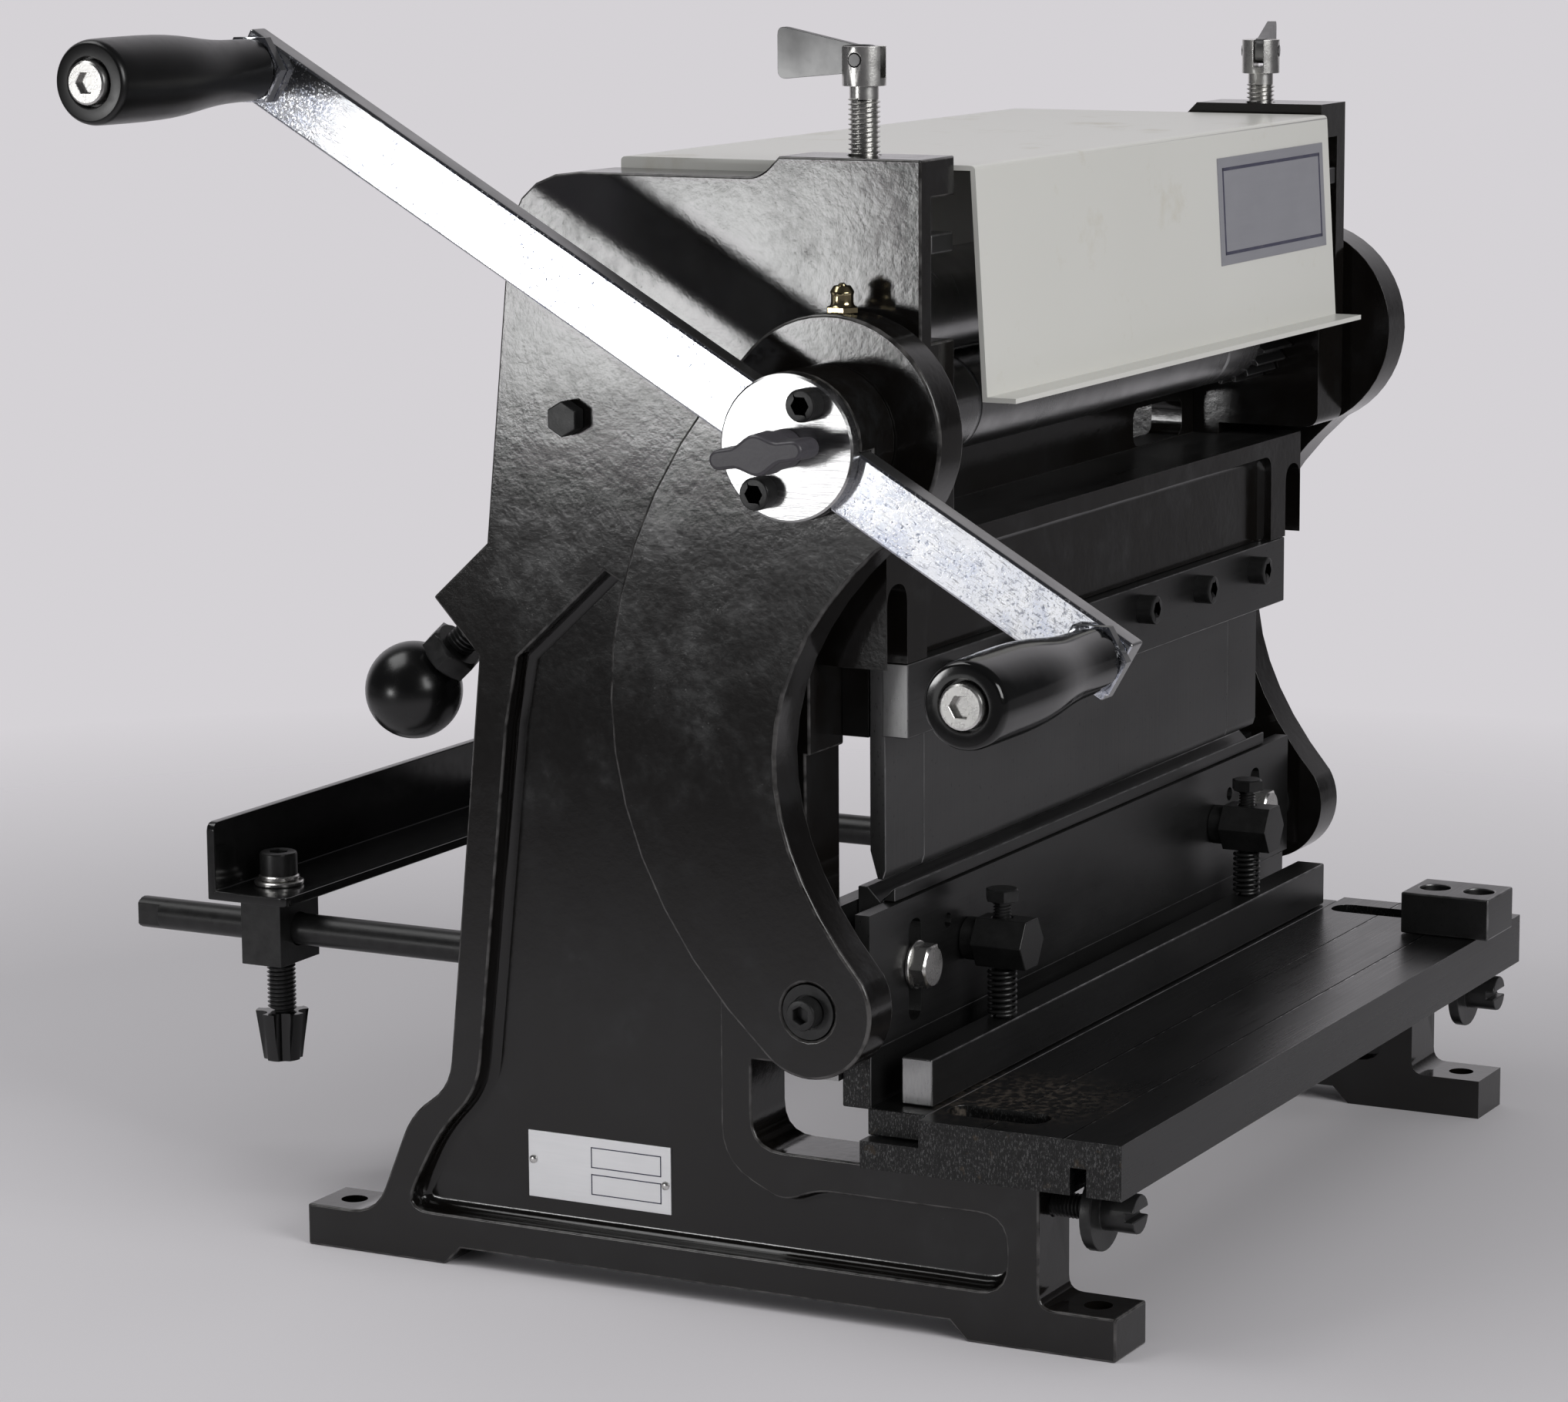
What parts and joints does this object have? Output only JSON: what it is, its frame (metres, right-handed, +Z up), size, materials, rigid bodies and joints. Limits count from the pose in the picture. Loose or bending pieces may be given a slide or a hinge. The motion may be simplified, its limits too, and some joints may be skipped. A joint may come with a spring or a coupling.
{
  "type": "combined shear, press brake and slip roll machine",
  "caption": "Bench machine that shears, bends and rolls sheet metal, with cast side frames, three rolls, a linked ram, a sliding table and a double-ended crank.",
  "frame": {"origin": "middle of the whole machine's bounding box in X and Y, on the surface that the feet stand on", "axes": "+X along the rolls away from the crank, +Y to the back of the machine, +Z up"},
  "size_m": [0.5088, 0.4212, 0.4047],
  "materials": {
    "black_enamel": "glossy black enamel over rough sand casting",
    "dark_steel": "blackened and ground tool steel with a fine brushed grain",
    "bright_steel": "ground bright steel",
    "chrome": "polished and scratched bright plating with small pits",
    "zinc": "zinc plated fasteners",
    "black_oxide": "black oxide steel",
    "grip_plastic": "glossy black moulded phenolic plastic",
    "cover_enamel": "smooth off-white enamel on bent sheet, faintly stained"
  },
  "bodies": {
    "frame": {"left_side_frame": "black_enamel", "right_side_frame": "black_enamel", "rear_tie_rod": "black_oxide", "upper_beam": "black_enamel", "clamp_bar": "dark_steel", "left_finger": "dark_steel", "middle_finger": "dark_steel", "right_finger": "dark_steel", "cover": "cover_enamel"},
    "shaft": {"crank_shaft": "bright_steel", "lower_gear": "dark_steel", "crank_hub": "black_enamel", "clamp_disc": "chrome", "shaft_end_cap": "black_oxide"},
    "crank_bar": {"crank_bar": "chrome"},
    "rear_grip": {"rear_grip": "grip_plastic"},
    "front_grip": {"front_grip": "grip_plastic"},
    "wing_screw": {"wing_screw": "black_enamel"},
    "ram": {"ram_beam": "dark_steel", "vee_die": "dark_steel", "ram_front_plate": "dark_steel", "upper_blade": "dark_steel", "left_hold_down_block": "black_oxide", "right_hold_down_block": "black_oxide", "left_gauge_rod": "black_oxide", "right_gauge_rod": "black_oxide", "left_link_pivot": "dark_steel", "right_link_pivot": "dark_steel"},
    "left_link": {"left_link": "black_enamel"},
    "right_link": {"right_link": "black_enamel"},
    "back_gauge": {"gauge_bar": "black_oxide", "left_gauge_block": "black_oxide", "right_gauge_block": "black_oxide"},
    "left_lock_knob": {"left_lock_knob": "grip_plastic"},
    "right_lock_knob": {"right_lock_knob": "grip_plastic"},
    "hold_down": {"hold_down_bar": "dark_steel", "left_hold_down_bolt": "black_oxide", "right_hold_down_bolt": "black_oxide", "left_hold_down_spring": "black_oxide", "right_hold_down_spring": "black_oxide"},
    "table": {"table": "dark_steel", "lower_blade": "dark_steel", "side_stop": "dark_steel"},
    "left_table_screw": {"left_table_screw": "black_oxide"},
    "right_table_screw": {"right_table_screw": "black_oxide"},
    "upper_carriage": {"left_upper_bearing": "bright_steel", "right_upper_bearing": "bright_steel"},
    "upper_roll": {"upper_roll": "bright_steel", "upper_gear": "dark_steel"},
    "left_press_screw": {"left_press_screw": "zinc"},
    "right_press_screw": {"right_press_screw": "zinc"},
    "left_thumb_lever": {"left_thumb_lever": "bright_steel"},
    "right_thumb_lever": {"right_thumb_lever": "bright_steel"},
    "rear_carriage": {"left_rear_bearing": "bright_steel", "right_rear_bearing": "bright_steel"},
    "rear_roll": {"rear_roll": "bright_steel"},
    "left_rear_roll_screw": {"left_rear_roll_screw": "grip_plastic"},
    "right_rear_roll_screw": {"right_rear_roll_screw": "grip_plastic"}
  },
  "joints": [
    {"name": "shaft_turn", "type": "hinge", "parent": "frame", "child": "shaft", "pos_m": [0.0541, -0.09351, 0.285], "axis": [-1, 0, 0], "range_deg": [-40, 45]},
    {"name": "crank_bar_slide", "type": "slide", "parent": "shaft", "child": "crank_bar", "axis": [0, 0.866, 0.5], "range_m": [-0.088, 0.072]},
    {"name": "rear_grip_spin", "type": "hinge", "parent": "crank_bar", "child": "rear_grip", "pos_m": [0.0541, 0.08819, 0.3917], "axis": [1, 0, 0], "continuous": true},
    {"name": "front_grip_spin", "type": "hinge", "parent": "crank_bar", "child": "front_grip", "pos_m": [0.0541, -0.19759, 0.2267], "axis": [1, 0, 0], "continuous": true},
    {"name": "wing_screw_turn", "type": "hinge", "parent": "shaft", "child": "wing_screw", "pos_m": [0.0541, -0.0993, 0.28345], "axis": [1, 0, 0], "range_deg": [0, 180]},
    {"name": "ram_slide", "type": "slide", "parent": "frame", "child": "ram", "axis": [0, 0, 1], "range_m": [-0.0043, 0.0048], "deforming": ["left_hold_down_spring", "right_hold_down_spring"]},
    {"name": "left_link_turn", "type": "hinge", "parent": "ram", "child": "left_link", "pos_m": [-0.1329, -0.09101, 0.105], "axis": [1, 0, 0], "range_deg": [-0.6, 0.6]},
    {"name": "right_link_turn", "type": "hinge", "parent": "ram", "child": "right_link", "pos_m": [0.2411, -0.09101, 0.105], "axis": [1, 0, 0], "range_deg": [-0.6, 0.6]},
    {"name": "back_gauge_slide", "type": "slide", "parent": "ram", "child": "back_gauge", "axis": [0, -1, 0], "range_m": [-0.035, 0.2]},
    {"name": "left_lock_knob_turn", "type": "hinge", "parent": "back_gauge", "child": "left_lock_knob", "pos_m": [-0.0639, 0.15399, 0.06], "axis": [0, 0, 1], "range_deg": [0, 360]},
    {"name": "right_lock_knob_turn", "type": "hinge", "parent": "back_gauge", "child": "right_lock_knob", "pos_m": [0.1721, 0.15399, 0.06], "axis": [0, 0, 1], "range_deg": [0, 360]},
    {"name": "hold_down_lift", "type": "slide", "parent": "frame", "child": "hold_down", "axis": [0, 0, 1], "range_m": [0, 0.0015], "stiffness_N_per_m": 2500, "springref_m": -0.003},
    {"name": "table_shift", "type": "slide", "parent": "frame", "child": "table", "axis": [0, -1, 0], "range_m": [0, 0.008]},
    {"name": "left_table_screw_turn", "type": "hinge", "parent": "table", "child": "left_table_screw", "pos_m": [-0.1087, -0.175, 0.0448], "axis": [0, -1, 0], "range_deg": [-10, 2320]},
    {"name": "right_table_screw_turn", "type": "hinge", "parent": "table", "child": "right_table_screw", "pos_m": [0.2169, -0.175, 0.0448], "axis": [0, -1, 0], "range_deg": [-10, 2320]},
    {"name": "upper_roll_lift", "type": "slide", "parent": "frame", "child": "upper_carriage", "axis": [0, 0, 1], "range_m": [0, 0.008]},
    {"name": "upper_roll_spin", "type": "hinge", "parent": "upper_carriage", "child": "upper_roll", "pos_m": [0.0541, -0.09351, 0.3175], "axis": [-1, 0, 0], "range_deg": [-50, 45]},
    {"name": "left_press_screw_turn", "type": "hinge", "parent": "upper_carriage", "child": "left_press_screw", "pos_m": [-0.10485, -0.09351, 0.36], "axis": [0, 0, 1], "range_deg": [-10, 1930]},
    {"name": "left_thumb_lever_fold", "type": "hinge", "parent": "left_press_screw", "child": "left_thumb_lever", "pos_m": [-0.10485, -0.09351, 0.395], "axis": [1, 0, 0], "range_deg": [0, 90]},
    {"name": "right_press_screw_turn", "type": "hinge", "parent": "upper_carriage", "child": "right_press_screw", "pos_m": [0.21305, -0.09351, 0.36], "axis": [0, 0, 1], "range_deg": [-10, 1930]},
    {"name": "right_thumb_lever_fold", "type": "hinge", "parent": "right_press_screw", "child": "right_thumb_lever", "pos_m": [0.21305, -0.09351, 0.3845], "axis": [0.2419, -0.9703, 0], "range_deg": [0, 90]},
    {"name": "rear_roll_shift", "type": "slide", "parent": "frame", "child": "rear_carriage", "axis": [0, -0.7361, 0.6769], "range_m": [-0.03, 0.011]},
    {"name": "rear_roll_spin", "type": "hinge", "parent": "rear_carriage", "child": "rear_roll", "pos_m": [0.0541, -0.02812, 0.28019], "axis": [1, 0, 0], "continuous": true},
    {"name": "left_rear_screw_turn", "type": "hinge", "parent": "rear_carriage", "child": "left_rear_roll_screw", "pos_m": [-0.10485, 0.0455, 0.2125], "axis": [0, -0.7361, 0.6769], "range_deg": [-7220, 2660]},
    {"name": "right_rear_screw_turn", "type": "hinge", "parent": "rear_carriage", "child": "right_rear_roll_screw", "pos_m": [0.21305, 0.0455, 0.2125], "axis": [0, -0.7361, 0.6769], "range_deg": [-7220, 2660]}
  ],
  "couplings": [
    {"joint": "ram_slide", "follows": "shaft_turn", "m_per_rad": 0.0058},
    {"joint": "left_link_turn", "follows": "shaft_turn", "ratio": 0.0073},
    {"joint": "right_link_turn", "follows": "shaft_turn", "ratio": 0.0073},
    {"joint": "upper_roll_spin", "follows": "shaft_turn", "ratio": -1},
    {"joint": "left_press_screw_turn", "follows": "upper_roll_lift", "rad_per_m": 4188.8},
    {"joint": "right_press_screw_turn", "follows": "upper_roll_lift", "rad_per_m": 4188.8},
    {"joint": "left_table_screw_turn", "follows": "table_shift", "rad_per_m": 5026.5},
    {"joint": "right_table_screw_turn", "follows": "table_shift", "rad_per_m": 5026.5},
    {"joint": "left_rear_screw_turn", "follows": "rear_roll_shift", "rad_per_m": 4188.8},
    {"joint": "right_rear_screw_turn", "follows": "rear_roll_shift", "rad_per_m": 4188.8}
  ]
}
